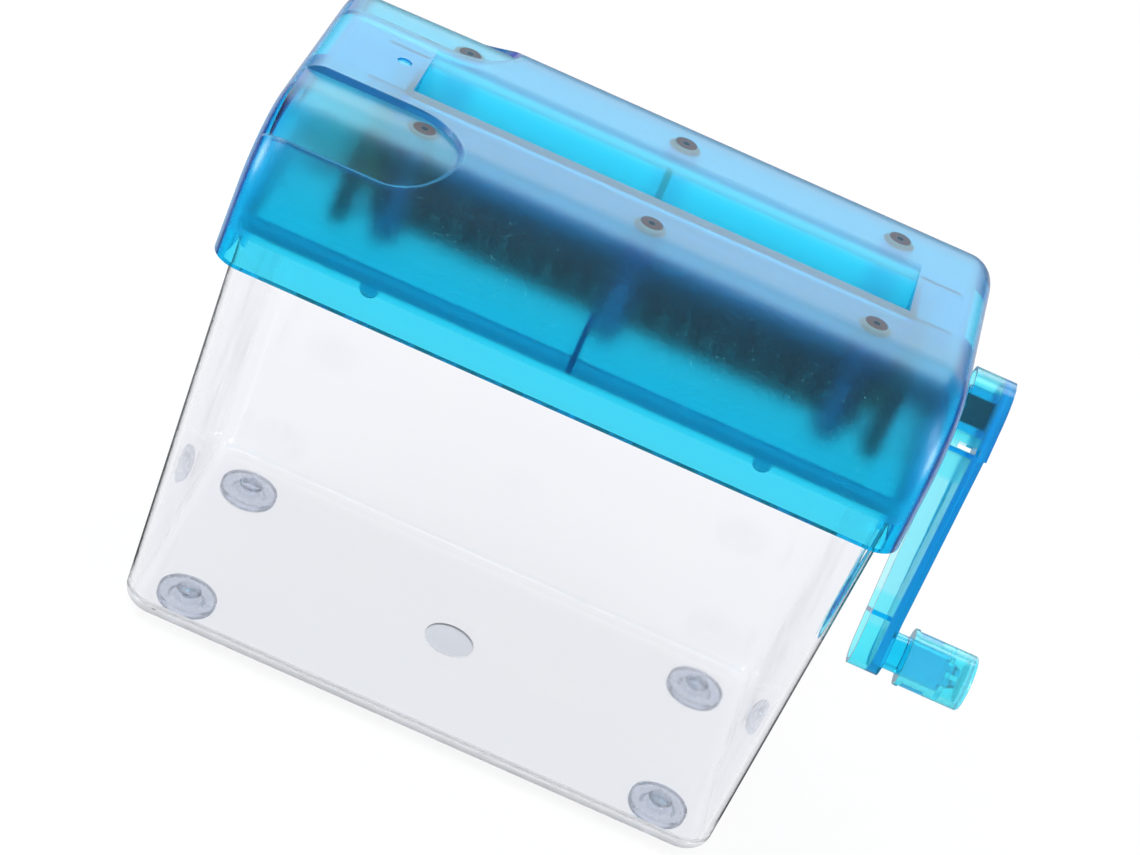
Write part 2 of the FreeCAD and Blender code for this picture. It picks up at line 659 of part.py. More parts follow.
def roller_shaft(side):
    """Hexagon shaft with a journal at each end, a square for the gear and a ring groove."""
    y = roller_y(side)
    hexagon = hex_bar(HEX_FLATS, STACK_LEFT, STACK_RIGHT, y, ROLLER_Z)
    gear_journal = rod_x(GEAR_JOURNAL_RADIUS, GEAR_RIGHT, STACK_LEFT, y, ROLLER_Z)
    gear_square = square_bar(GEAR_KEY, GEAR_LEFT, GEAR_RIGHT, y, ROLLER_Z)
    tip = rod_x(RING_TIP_RADIUS, GEAR_LEFT - RING_TIP_LENGTH, GEAR_LEFT, y, ROLLER_Z)
    groove_x = GEAR_LEFT - RING_SIDE_GAP - RING_THICK - RING_SIDE_GAP
    groove = rod_x(RING_TIP_RADIUS + OVERCUT, groove_x, GEAR_LEFT, y, ROLLER_Z)
    groove = groove.cut(rod_x(RING_GROOVE_RADIUS, groove_x, GEAR_LEFT, y, ROLLER_Z))
    pieces = [gear_journal, gear_square, tip.cut(groove)]
    if side > 0:
        neck_start = RIGHT_PLATE_X + PLATE_THICK + NECK_GAP
        neck_end = CRANK_INNER_X - SEAT_GAP
        pieces.append(rod_x(DRIVE_JOURNAL_RADIUS, STACK_RIGHT, neck_start, y, ROLLER_Z))
        pieces.append(rod_x(NECK_RADIUS, neck_start, neck_end, y, ROLLER_Z))
        drive = square_bar(DRIVE_SQUARE, neck_end, CRANK_OUTER_X - CRANK_WEB, y, ROLLER_Z)
        drive.rotate(point(0, y, ROLLER_Z), AXIS_X, -CRANK_TILT)
        pieces.append(drive)
    else:
        journal_end = RIGHT_PLATE_X + PLATE_THICK + OVERCUT
        pieces.append(rod_x(DRIVE_JOURNAL_RADIUS, STACK_RIGHT, journal_end, y, ROLLER_Z))
    return joined(hexagon, pieces)


def involute(angle):
    return math.tan(angle) - angle


def gear_outline(phase):
    """Involute spur gear outline around the origin, as (y, z) pairs."""
    module = ROLLER_SPACING / GEAR_TEETH
    pitch_radius = ROLLER_SPACING / 2
    base_radius = pitch_radius * math.cos(GEAR_PRESSURE)
    tip_radius = pitch_radius + GEAR_ADDENDUM * module
    root_radius = pitch_radius - GEAR_DEDENDUM * module
    half_tooth = math.pi / (2 * GEAR_TEETH) - GEAR_BACKLASH / (2 * pitch_radius)
    flank = []
    for step in range(GEAR_FLANK_POINTS):
        radius = base_radius + (tip_radius - base_radius) * step / (GEAR_FLANK_POINTS - 1)
        lean = involute(GEAR_PRESSURE) - involute(math.acos(base_radius / radius))
        flank.append((radius, half_tooth + lean))
    flank.insert(0, (root_radius, flank[0][1]))
    outline = []
    for tooth in range(GEAR_TEETH):
        middle = phase + 2 * math.pi * tooth / GEAR_TEETH
        rising = [(radius, middle - lean) for radius, lean in flank]
        falling = [(radius, middle + lean) for radius, lean in reversed(flank)]
        outline += [(radius * math.cos(turn), radius * math.sin(turn)) for radius, turn in rising + falling]
    return outline


def roller_gear(side):
    phase = 0 if side < 0 else math.pi + math.pi / GEAR_TEETH
    gear = prism_x(gear_outline(phase), GEAR_LEFT, GEAR_RIGHT)
    gear.translate(point(0, roller_y(side), ROLLER_Z))
    key = square_bar(GEAR_KEY + 2 * KEY_CLEARANCE, GEAR_LEFT - OVERCUT, GEAR_RIGHT + OVERCUT,
                     roller_y(side), ROLLER_Z)
    return gear.cut(key)


def retaining_ring(side):
    """Open ring that snaps into the groove outside a gear, its mouth facing down."""
    y = roller_y(side)
    right = GEAR_LEFT - RING_SIDE_GAP
    left = right - RING_THICK
    ring = rod_x(RING_RADIUS, left, right, y, ROLLER_Z)
    hole = rod_x(RING_GROOVE_RADIUS + KEY_CLEARANCE, left - OVERCUT, right + OVERCUT, y, ROLLER_Z)
    mouth = box(left - OVERCUT, right + OVERCUT, y - RING_MOUTH / 2, y + RING_MOUTH / 2,
                ROLLER_Z - RING_RADIUS - OVERCUT, ROLLER_Z)
    return ring.cut(Part.makeCompound([hole, mouth]))


def arm_plan(inset, x0, x1):
    """Tapered arm outline seen along X: a large hub, a small end and their common tangents."""
    big = CRANK_HUB_RADIUS - inset
    small = CRANK_END_RADIUS - inset
    lean = math.asin((big - small) / CRANK_REACH)
    side_y = math.cos(lean)
    side_z = -math.sin(lean)
    hub_right = point(x0, big * side_y, big * side_z)
    hub_left = point(x0, -big * side_y, big * side_z)
    end_right = point(x0, small * side_y, small * side_z - CRANK_REACH)
    end_left = point(x0, -small * side_y, small * side_z - CRANK_REACH)
    curves = [
        Part.Arc(hub_right, point(x0, 0, big), hub_left),
        Part.LineSegment(hub_left, end_left),
        Part.Arc(end_left, point(x0, 0, -CRANK_REACH - small), end_right),
        Part.LineSegment(end_right, hub_right),
    ]
    return Part.Face(wire_of(curves)).extrude(point(x1 - x0, 0, 0))


def arm_side(inset):
    """Arm outline seen along Y: full thickness at the hub, outer face leaning in down the arm."""
    reach = 2 * CRANK_HUB_RADIUS
    hub_low = -CRANK_HUB_RADIUS
    end_low = CRANK_END_RADIUS - CRANK_REACH
    corners = [
        (CRANK_INNER_X - inset, reach),
        (CRANK_OUTER_X - inset, reach),
        (CRANK_OUTER_X - inset, hub_low),
        (ARM_OUTER_X - inset, hub_low),
        (ARM_END_X - inset, end_low),
        (ARM_END_X - inset, -CRANK_REACH - reach),
        (CRANK_INNER_X - inset, -CRANK_REACH - reach),
    ]
    outline = [point(x, -reach, z) for x, z in corners]
    return Part.Face(Part.makePolygon(outline + outline[:1])).extrude(point(0, 2 * reach, 0))


def crank_arm():
    """Channel-section arm: outer web, rim flange, square socket in the hub, spindle at the end."""
    block = arm_plan(0, CRANK_INNER_X, CRANK_OUTER_X).common(arm_side(0))
    cavity = arm_plan(CRANK_FLANGE, CRANK_INNER_X - CRANK_WEB, CRANK_OUTER_X).common(arm_side(CRANK_WEB))
    arm = block.cut(cavity)
    half_socket = DRIVE_SQUARE / 2 + SOCKET_WALL
    web_x = ARM_END_X - CRANK_WEB
    added = [
        square_bar(2 * half_socket, CRANK_INNER_X, CRANK_OUTER_X - CRANK_WEB / 2, 0, 0),
        rod_x(SPINDLE_RADIUS, web_x, KNOB_LEFT + KNOB_BORE_DEPTH - KNOB_CLEARANCE, 0, -CRANK_REACH),
    ]
    for rib_z in (-CRANK_HUB_RADIUS, CRANK_END_RADIUS - CRANK_REACH):
        slab = box(CRANK_INNER_X, CRANK_OUTER_X, -CRANK_HUB_RADIUS, CRANK_HUB_RADIUS,
                   rib_z - CRANK_RIB / 2, rib_z + CRANK_RIB / 2)
        added.append(slab.common(block))
    shoulder = KNOB_LEFT + KNOB_BORE_DEPTH - KNOB_CLEARANCE
    snap_from = KNOB_LEFT + KNOB_BORE_DEPTH + KNOB_WEB + KNOB_CLEARANCE
    added.append(rod_x(SNAP_RADIUS, shoulder, snap_from, 0, -CRANK_REACH))
    snap = Part.makeCone(SNAP_RADIUS + SNAP_BULGE, SNAP_RADIUS - SNAP_BULGE, SNAP_LENGTH,
                         point(snap_from, 0, -CRANK_REACH), AXIS_X)
    added.append(snap)
    arm = joined(arm, added)
    socket = square_bar(DRIVE_SQUARE + 2 * KEY_CLEARANCE, CRANK_INNER_X - OVERCUT, CRANK_OUTER_X - CRANK_WEB,
                        0, 0)
    split = box(shoulder, snap_from + SNAP_LENGTH + OVERCUT, -SNAP_RADIUS * 2, SNAP_RADIUS * 2,
                -CRANK_REACH - SNAP_SLOT / 2, -CRANK_REACH + SNAP_SLOT / 2)
    cuts = [socket, split]
    slot_x = (CRANK_INNER_X + CRANK_OUTER_X - HUB_SLOT_LENGTH) / 2
    for slot_side in (-1, 1):
        low, high = sorted((slot_side * CRANK_HUB_RADIUS * 2, slot_side * half_socket))
        cuts.append(box(slot_x, slot_x + HUB_SLOT_LENGTH, low, high,
                        -HUB_SLOT_DROP - HUB_SLOT_WIDTH / 2, -HUB_SLOT_DROP + HUB_SLOT_WIDTH / 2))
    cuts.append(box(slot_x, slot_x + HUB_SLOT_LENGTH, -HUB_SLOT_WIDTH / 2, HUB_SLOT_WIDTH / 2,
                    CRANK_HUB_RADIUS - 2 * CRANK_FLANGE, CRANK_HUB_RADIUS + OVERCUT))
    arm = arm.cut(Part.makeCompound(cuts))
    return hang_crank(arm)


def hang_crank(shape):
    """Turn a piece built hanging straight down into the crank's rest place on the drive shaft."""
    shape.rotate(point(0, 0, 0), AXIS_X, -CRANK_TILT)
    shape.translate(point(0, roller_y(1), ROLLER_Z))
    return shape


def crank_knob():
    """Hollow knob with a collar, turning on the arm's spindle behind a snap web."""
    right = KNOB_LEFT + KNOB_LENGTH
    z = -CRANK_REACH
    body = rod_x(KNOB_RADIUS, KNOB_LEFT, right, 0, z)
    end_rim = [edge for edge in body.Edges if edge.BoundBox.XMin > right - KNOB_END_ROUND]
    body = body.makeFillet(KNOB_END_ROUND, end_rim)
    body = joined(body, [rod_x(KNOB_COLLAR_RADIUS, KNOB_LEFT, KNOB_LEFT + KNOB_COLLAR, 0, z)])
    web_x = KNOB_LEFT + KNOB_BORE_DEPTH
    cuts = [
        rod_x(SPINDLE_RADIUS + KNOB_CLEARANCE, KNOB_LEFT - OVERCUT, web_x, 0, z),
        rod_x(SNAP_RADIUS + KNOB_CLEARANCE, web_x - OVERCUT, web_x + KNOB_WEB + OVERCUT, 0, z),
        rod_x(KNOB_RADIUS - KNOB_WALL, web_x + KNOB_WEB, right - KNOB_END_WALL, 0, z),
    ]
    window_x = KNOB_LEFT + KNOB_COLLAR + KNOB_WINDOW_GAP
    cuts.append(box(window_x, window_x + KNOB_WINDOW_LENGTH, -KNOB_WINDOW_WIDTH / 2, KNOB_WINDOW_WIDTH / 2,
                    z - 2 * KNOB_RADIUS, z + 2 * KNOB_RADIUS))
    return hang_crank(body.cut(Part.makeCompound(cuts)))


def bin_block(inset, z0, z1):
    """Tapered block with round corners between two levels, set in by a wall."""
    corner = max(BIN_CORNER - inset, LEAST_ROUND)
    wires = []
    for z in (z0, z1):
        rise = z - FOOT_HEIGHT
        half_x = BIN_BASE_X + rise * BIN_LEAN_X - inset
        half_y = BIN_BASE_Y + rise * BIN_LEAN_Y - inset
        wires.append(rounded_rectangle(half_x, half_y, corner, z).OuterWire)
    return Part.makeLoft(wires, True, True)


def foot_places():
    return {
        "front_left": (-FOOT_X, -FOOT_Y),
        "front_right": (FOOT_X, -FOOT_Y),
        "rear_left": (-FOOT_X, FOOT_Y),
        "rear_right": (FOOT_X, FOOT_Y),
    }


def round_base(block, radius, z):
    rim = [edge for edge in block.Edges if edge.BoundBox.ZMax < z + EDGE_TOLERANCE]
    return block.makeFillet(radius, rim)


def waste_bin():
    floor_top = FOOT_HEIGHT + BIN_FLOOR
    outer = round_base(bin_block(0, FOOT_HEIGHT, BIN_TOP), BIN_BASE_ROUND, FOOT_HEIGHT)
    inner_round = max(BIN_BASE_ROUND - BIN_WALL, LEAST_ROUND)
    inner = round_base(bin_block(BIN_WALL, floor_top, BIN_TOP + OVERCUT), inner_round, floor_top)
    cuts = [inner, rod_z(GATE_RADIUS, FOOT_HEIGHT - OVERCUT, FOOT_HEIGHT + GATE_DEPTH, 0, 0)]
    for x, y in foot_places().values():
        cuts.append(rod_z(FOOT_STEM_RADIUS + FOOT_STEM_CLEARANCE, FOOT_HEIGHT - OVERCUT,
                          floor_top + OVERCUT, x, y))
    shell = outer
    for cut in cuts:
        shell = shell.cut(cut)
    return shell


def foot(x, y):
    """Soft push-in foot: cupped disc below the floor, stem through it, half-round button above."""
    disc_top = FOOT_HEIGHT - SEAT_GAP
    button_low = FOOT_HEIGHT + BIN_FLOOR + SEAT_GAP
    disc = rod_z(FOOT_RADIUS, 0, disc_top, 0, 0)
    edge_low = [edge for edge in disc.Edges if edge.BoundBox.ZMax < FOOT_HEIGHT / 2]
    disc = disc.makeFillet(FOOT_EDGE, edge_low)
    cup = Part.makeCone(FOOT_CUP_RADIUS, FOOT_CUP_RADIUS - FOOT_CUP_DEPTH, FOOT_CUP_DEPTH)
    stem = rod_z(FOOT_STEM_RADIUS, disc_top, button_low, 0, 0)
    dome_radius = (FOOT_BUTTON_RADIUS ** 2 + FOOT_BUTTON_HEIGHT ** 2) / (2 * FOOT_BUTTON_HEIGHT)
    ball = Part.makeSphere(dome_radius, point(0, 0, button_low + FOOT_BUTTON_HEIGHT - dome_radius))
    button = ball.common(rod_z(FOOT_BUTTON_RADIUS * 2, button_low, button_low + FOOT_BUTTON_HEIGHT * 2, 0, 0))
    shape = joined(disc.cut(cup), [stem, button])
    shape.translate(point(x, y, 0))
    return shape


def pieces():
    """Every node of the assembly by name."""
    nodes = {
        "waste_bin": waste_bin(),
        "top_cover": top_cover(),
        "lower_frame": lower_frame(),
        "cover_screws": cover_screws(),
        "left_bearing_plate": bearing_plate(LEFT_PLATE_X),
        "right_bearing_plate": bearing_plate(RIGHT_PLATE_X),
        "crank_arm": crank_arm(),
        "crank_knob": crank_knob(),
    }
    for name, (x, y) in foot_places().items():
        nodes["foot_" + name] = foot(x, y)
    for name, side in (("front", -1), ("rear", 1)):
        nodes[name + "_left_bush"] = bush(LEFT_PLATE_X, side, GEAR_JOURNAL_RADIUS, 1)
        nodes[name + "_right_bush"] = bush(RIGHT_PLATE_X, side, DRIVE_JOURNAL_RADIUS, -1)
        nodes[name + "_comb"] = comb(side)
        nodes[name + "_cutter_discs"] = cutter_discs(side)
        nodes[name + "_spacers"] = spacers(side)
        nodes[name + "_gear"] = roller_gear(side)
        nodes[name + "_retaining_ring"] = retaining_ring(side)
    nodes["drive_shaft"] = roller_shaft(1)
    nodes["idler_shaft"] = roller_shaft(-1)
    return nodes


def main():
    os.makedirs("parts", exist_ok=True)
    for name, shape in pieces().items():
        valid = shape.isValid()
        print(name, "solids", len(shape.Solids), "volume", round(shape.Volume, 1), "valid", valid)
        shape.exportStep("parts/" + name + ".step")


main()
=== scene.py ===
import math

import bpy
from mathutils import Matrix, Vector


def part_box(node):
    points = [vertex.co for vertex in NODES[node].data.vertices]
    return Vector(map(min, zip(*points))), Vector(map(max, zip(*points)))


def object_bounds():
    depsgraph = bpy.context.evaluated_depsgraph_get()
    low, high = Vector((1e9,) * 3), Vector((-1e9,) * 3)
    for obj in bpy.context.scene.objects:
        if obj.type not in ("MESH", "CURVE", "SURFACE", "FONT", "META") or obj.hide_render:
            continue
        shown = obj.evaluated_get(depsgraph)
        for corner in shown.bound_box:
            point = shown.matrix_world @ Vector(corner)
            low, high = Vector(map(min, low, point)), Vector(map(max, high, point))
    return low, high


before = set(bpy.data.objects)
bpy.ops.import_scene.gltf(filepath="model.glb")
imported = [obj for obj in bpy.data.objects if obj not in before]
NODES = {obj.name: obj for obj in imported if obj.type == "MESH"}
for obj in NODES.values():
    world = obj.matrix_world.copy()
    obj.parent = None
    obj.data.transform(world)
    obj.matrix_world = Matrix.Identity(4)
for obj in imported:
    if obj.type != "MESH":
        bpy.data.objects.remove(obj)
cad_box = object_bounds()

# Looks of a hand-crank desktop paper shredder: clear bin, translucent blue head and crank. Metres.

MM = 0.001

# Camera at the photograph's viewing angle
IMAGE_WIDTH = 1140
SENSOR_WIDTH = 36.0
FOCAL_PIXELS = 3364.0
CAMERA_PLACE = Vector((0.0005, -0.6187, 0.4306))
CAMERA_HEADING = math.radians(0.435)
CAMERA_PITCH = math.radians(30.506)
CAMERA_ROLL = math.radians(24.163)

# Studio
FLOOR_HALF = 2.0
FLOOR_DROP = 0.2 * MM
FLOOR_COLOUR = (0.84, 0.84, 0.85, 1)
FLOOR_GLOW_SHARE = 0.86
WORLD_LIGHT = (0.80, 0.82, 0.85, 1)
WORLD_WHITE = (1, 1, 1, 1)
HORIZON_GREY = (0.70, 0.72, 0.80, 1)
HORIZON_HEIGHT = 0.34
FRONT_DIM = (0.12, 0.13, 0.14, 1)
REAR_BRIGHT = (2.9, 2.9, 2.9, 1)
REAR_FLOOR = (0.6, 0.62, 0.66, 1)
MIRROR_FRONT = -0.05
MIRROR_REAR = 0.1
REAR_LOW = 0.62
REAR_HIGH = 0.90
BOUNCES = 32

# Each softbox's name, place, width and height, and power in watts
SOFTBOXES = (
    ("key_softbox", (-0.55, -0.35, 0.85), (0.5, 0.35), 4.0),
    ("fill_softbox", (0.75, -0.45, 0.6), (0.4, 0.5), 2.2),
    ("top_softbox", (0.0, 0.45, 0.9), (0.7, 0.3), 2.5),
    ("left_strip", (-0.8, -0.2, 0.2), (0.2, 0.3), 3.0),
    ("right_strip", (0.8, -0.25, 0.16), (0.2, 0.3), 3.0),
)

# Places on the part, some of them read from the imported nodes
HEAD_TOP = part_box("top_cover")[1].z
HOPPER_FRONT = -9.3 * MM
HOPPER_REAR = 13.0 * MM
HOPPER_DEPTH = 15.0 * MM
HOPPER_FADE = 0.6 * MM
HOPPER_LIP = 0.1 * MM
SCOOP_ROUND = -49.2 * MM
SCOOP_EDGE = 15.5 * MM
SCOOP_HALF = 11.75 * MM
SCOOP_LEAN = math.radians(16.6)
SCOOP_DRAFT = math.radians(25.0)
SCOOP_DROP = 10.0 * MM
SCOOP_NEAR = 0.2 * MM, 0.45 * MM
POST_MIDDLE = 3.3 * MM
POST_COLUMN = 48.97 * MM
POST_ROW = 20.1 * MM
POST_PILOT = 0.8 * MM
POST_RING = 2.45 * MM
SKIRT_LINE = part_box("waste_bin")[1].z
FRAME_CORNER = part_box("lower_frame")[1]
FRAME_RIM = 2.3 * MM
RIB_HALF = 0.65 * MM
RIB_REAR = 7.0 * MM
KNOB_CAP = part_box("crank_knob")[1].x - 1.75 * MM
HUB_MIDDLE = 108.5 * MM
HUB_LOW = HUB_MIDDLE - 9.3 * MM
BOSS_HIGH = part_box("crank_arm")[0].z + 12.0 * MM
BOSS_FACE = 83.9 * MM
WEB_INNER = 83.0 * MM
WEB_OUTER = 85.6 * MM
WEB_TAPER = 0.0332
GATE_RADIUS = 5.75 * MM
GATE_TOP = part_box("waste_bin")[0].z + 0.7 * MM

# Absorption of the blue plastic, as the colour that is left and a density per metre
BLUE_LEFT = (0.05, 0.90, 0.985, 1)
BLUE_DENSITY = 1100.0
CRANK_DENSITY = 600.0
KNOB_DENSITY = 220.0
FRAME_DENSITY = 350.0
CLEAR_LEFT = (0.86, 0.88, 0.96, 1)
CLEAR_DENSITY = 45.0
PLASTIC_IOR = 1.49
VINYL_IOR = 1.45

# Widths over which a mark fades out
FINE_EDGE = 0.2 * MM
MIDDLE_EDGE = 0.5 * MM
SOFT_EDGE = 0.6 * MM

# Where a face turns from one look to another, by the part of its facing along X or Z
FROST_TURN = 0.6, 0.9
END_TURN = 0.80, 0.97
TOP_TURN = 0.92, 0.995
LIP_UPPER = -0.2, -0.05
LIP_LOWER = -0.98, -0.9

# Tones of the blue plastic's own surface, and painted shade over the screw posts, along the scoop steps
# and on the rib
CLEAR_TONE = (0.97, 0.99, 1.0, 1)
FROST_TONE = (0.25, 0.92, 1.0, 1)
HOPPER_TONE = (0.04, 0.86, 1.0, 1)
END_TONE = (0.04, 0.55, 0.85, 1)
# Painted shade over the screw posts: the boss ring and the pilot hole's dark end
POST_RING_SHADE_TONE = (0.17, 0.15, 0.15, 1)
PILOT_SHADE_TONE = (0.01, 0.05, 0.09, 1)
# Painted shade along the steps around the scoops
SCOOP_SHADE_TONE = (0.03, 0.22, 0.42, 1)
RIM_TONE = (0.85, 0.99, 1.0, 1)
# Painted shade on the rib at the middle of the frame's front
RIB_SHADE_TONE = (0.01, 0.16, 0.34, 1)
KNOB_TONE = (0.30, 0.93, 1.0, 1)
CAP_TONE = (0.25, 0.92, 1.0, 1)
HUB_TONE = (0.55, 0.97, 1.0, 1)
WEB_TONE = (0.03, 0.55, 0.80, 1)
WAVE_TONES = (0.92, 0.975, 1.0, 1), (0.96, 0.99, 1.0, 1)

# Waves and grain in features per metre, and the part of the noise that counts
COVER_WAVES = 240.0
SMALL_WAVES = 260.0
BIN_WAVES = 60.0
VINYL_CLOUDS = 400.0
FROST_GRAIN = 2600.0
FROST_SPECKS = 3400.0
NOISE_RANGE = 0.3, 0.7
SPECK_RANGE = 0.69, 0.74

# Strength and depth of the relief
COVER_RELIEF = 0.10
SMALL_RELIEF = 0.08
BIN_RELIEF = 0.04
VINYL_RELIEF = 0.05
GRAIN_RELIEF = 0.06
GRAIN_HEIGHT = 0.15
WAVE_DEPTH = 0.4 * MM
VINYL_DEPTH = 0.3 * MM
GRAIN_DEPTH = 0.1 * MM

# Roughness, smoothest and roughest where it varies, and what marks add to it
FROST_ROUGH = 0.245
GRAIN_ROUGH = 0.07
GLOSS_ROUGH = 0.035
FRAME_ROUGH = 0.10, 0.18
CRANK_ROUGH = 0.03, 0.07
KNOB_ROUGH = 0.09, 0.13
BIN_ROUGH = 0.02, 0.05
VINYL_ROUGH = 0.16, 0.3
POST_DULL = 0.4
HUB_DULL = 0.14
GATE_DULL = 0.3
LIP_DULL = 0.4

# Share of each mark that is hazy instead of see-through, and of the vinyl that is see-through
TOP_HAZE = 0.11
SPECK_HAZE = 0.3
HOPPER_HAZE = 0.28
END_HAZE = 0.3
# Share that shows the painted shade over the screw posts
POST_SHADE_HAZE = 0.32
# Share that shows the painted shade along the scoop steps
SCOOP_SHADE_HAZE = 0.5
RIM_HAZE = 0.65
# Share that shows the painted shade on the rib
RIB_SHADE_HAZE = 0.85
WEB_HAZE = 0.2
KNOB_HAZE = 0.1
CAP_HAZE = 0.3
LIP_HAZE = 0.5
VINYL_CLEAR = 0.85

# Darker and lighter tone of each of the other materials
BIN_TONES = (0.965, 0.97, 0.985, 1), (0.98, 0.983, 0.992, 1)
GATE_TONE = (0.74, 0.79, 0.90, 1)
VINYL_TONES = (0.75, 0.80, 0.93, 1), (0.85, 0.89, 0.99, 1)
# Cutter tones are painted shade: near black discs for the shade inside the head
CUTTER_SHADE_TONES = (0.010, 0.010, 0.012, 1), (0.025, 0.025, 0.03, 1)
# Shaft tones are painted shade: dark navy for the shade and blue cast inside the hub
SHAFT_SHADE_TONES = (0.004, 0.012, 0.06, 1), (0.015, 0.03, 0.11, 1)
SCREW_TONES = (0.46, 0.45, 0.43, 1), (0.58, 0.57, 0.55, 1)
BRASS_TONES = (0.50, 0.34, 0.14, 1), (0.64, 0.46, 0.20, 1)
BLACK_TONES = (0.012, 0.012, 0.014, 1), (0.03, 0.03, 0.033, 1)
NYLON_TONES = (0.60, 0.60, 0.57, 1), (0.74, 0.74, 0.70, 1)


def add(material, kind, **settings):
    """New node in a material, with its settings."""
    node = material.node_tree.nodes.new(kind)
    for name, value in settings.items():
        setattr(node, name, value)
    return node


def link(material, source, target):
    """Link from an output socket to an input socket."""
    material.node_tree.links.new(source, target)


def new_material(name):
    """New material and its Principled shader."""
    material = bpy.data.materials.new(name)
    material.use_nodes = True
    return material, material.node_tree.nodes["Principled BSDF"]


def maths(material, operation, first, second=None, clamp=False):
    """One Math node on sockets or plain numbers, and its result socket."""
    node = add(material, "ShaderNodeMath", operation=operation, use_clamp=clamp)
    for socket, value in zip(node.inputs, (first, second)):
        if isinstance(value, (int, float)):
            socket.default_value = value
        elif value is not None:
            link(material, value, socket)
    return node.outputs[0]


def ramp(material, value, low, high, low_out=0.0, high_out=1.0):
    """Smooth step of a socket from low to high."""
    node = add(material, "ShaderNodeMapRange", interpolation_type="SMOOTHSTEP")
    link(material, value, node.inputs["Value"])
    node.inputs["From Min"].default_value = low
    node.inputs["From Max"].default_value = high
    node.inputs["To Min"].default_value = low_out
    node.inputs["To Max"].default_value = high_out
    return node.outputs["Result"]


def noise(material, scale, detail=2.0, roughness=0.5):
    """Noise in the part's own frame, scale in features per metre."""
    place = add(material, "ShaderNodeTexCoord")
    node = add(material, "ShaderNodeTexNoise")
    link(material, place.outputs["Object"], node.inputs["Vector"])
    node.inputs["Scale"].default_value = scale
    node.inputs["Detail"].default_value = detail
    node.inputs["Roughness"].default_value = roughness
    return node.outputs["Fac"]


def bump(material, shader, height, strength, depth):
    """Fine relief from a socket's height."""
    node = add(material, "ShaderNodeBump")
    node.inputs["Strength"].default_value = strength
    node.inputs["Distance"].default_value = depth
    link(material, height, node.inputs["Height"])
    link(material, node.outputs["Normal"], shader.inputs["Normal"])


def tint(material, value, dark, light):
    """Colour between two tones, each a plain colour or a socket, by a socket."""
    node = add(material, "ShaderNodeMix", data_type="RGBA")
    link(material, value, node.inputs["Factor"])
    for socket in node.inputs:
        if socket.type == "RGBA":
            tone = dark if socket.name == "A" else light
            if isinstance(tone, tuple):
                socket.default_value = tone
            else:
                link(material, tone, socket)
    return next(socket for socket in node.outputs if socket.type == "RGBA")


def absorb(material, left, density):
    """Colour that deepens with the length of the way through the plastic."""
    volume = add(material, "ShaderNodeVolumeAbsorption")
    volume.inputs["Color"].default_value = left
    volume.inputs["Density"].default_value = density
    output = material.node_tree.nodes["Material Output"]
    link(material, volume.outputs["Volume"], output.inputs["Volume"])


def paint(material, *names):
    """Give a material to the named CAD nodes."""
    for name in names:
        for slot in NODES[name].material_slots:
            slot.material = material


def places(material):
    """Sockets of the place and of the facing, each along X, Y and Z, in the part's own frame."""
    source = add(material, "ShaderNodeTexCoord")
    parts = []
    for name in ("Object", "Normal"):
        split = add(material, "ShaderNodeSeparateXYZ")
        link(material, source.outputs[name], split.inputs["Vector"])
        parts.append([split.outputs[axis] for axis in "XYZ"])
    return parts


def product(material, *values):
    """Product of sockets and numbers."""
    result = values[0]
    for value in values[1:]:
        result = maths(material, "MULTIPLY", result, value)
    return result


def total(material, *values):
    """Sum of sockets and numbers."""
    result = values[0]
    for value in values[1:]:
        result = maths(material, "ADD", result, value)
    return result


def minus(material, first, second):
    """First less second."""
    return maths(material, "SUBTRACT", first, second)


def size_of(material, value):
    """Value without its sign."""
    return maths(material, "ABSOLUTE", value)


def over(material, value, limit):
    """Mask that is 1 above a limit."""
    return maths(material, "GREATER_THAN", value, limit)


def under(material, value, limit):
    """Mask that is 1 below a limit."""
    return maths(material, "LESS_THAN", value, limit)


def distance(material, first, second):
    """Length across two directions."""
    squares = total(material, product(material, first, first), product(material, second, second))
    return maths(material, "SQRT", squares)


def rising(material, value, middle, soft):
    """Mask that goes from 0 to 1 where a socket passes a middle, over a soft width."""
    return ramp(material, value, middle - soft / 2, middle + soft / 2)


def falling(material, value, middle, soft):
    """Mask that goes from 1 to 0 where a socket passes a middle, over a soft width."""
    return ramp(material, value, middle - soft / 2, middle + soft / 2, 1.0, 0.0)


def cover_skin(material, place, facing):
    """Masks of the head's frosted skin, its outside above the skirt with the hopper, and of its ends."""
    height = minus(material, place[2], SKIRT_LINE)
    outward = total(
        material,
        product(material, place[0], facing[0]),
        product(material, place[1], facing[1]),
        product(material, height, facing[2]),
    )
    outside = over(material, outward, 0.0)
    above = rising(material, place[2], SKIRT_LINE, SOFT_EDGE)
    sideways = size_of(material, facing[0])
    frost = product(material, outside, above, ramp(material, sideways, *FROST_TURN, 1.0, 0.0))
    return frost, product(material, outside, ramp(material, sideways, *END_TURN))


def post_shade_marks(material, place):
    """Masks of the painted shade over each screw post: a ring where the boss shows through the skin, and
    the dark end of its pilot hole.
    """
    column = size_of(material, minus(material, place[0], POST_MIDDLE))
    outer = size_of(material, minus(material, column, POST_COLUMN))
    row = minus(material, size_of(material, place[1]), POST_ROW)
    reach = distance(material, maths(material, "MINIMUM", column, outer), row)
    ring = product(
        material,
        rising(material, reach, POST_PILOT, FINE_EDGE),
        falling(material, reach, POST_RING, MIDDLE_EDGE),
    )
    return ring, falling(material, reach, POST_PILOT, FINE_EDGE)


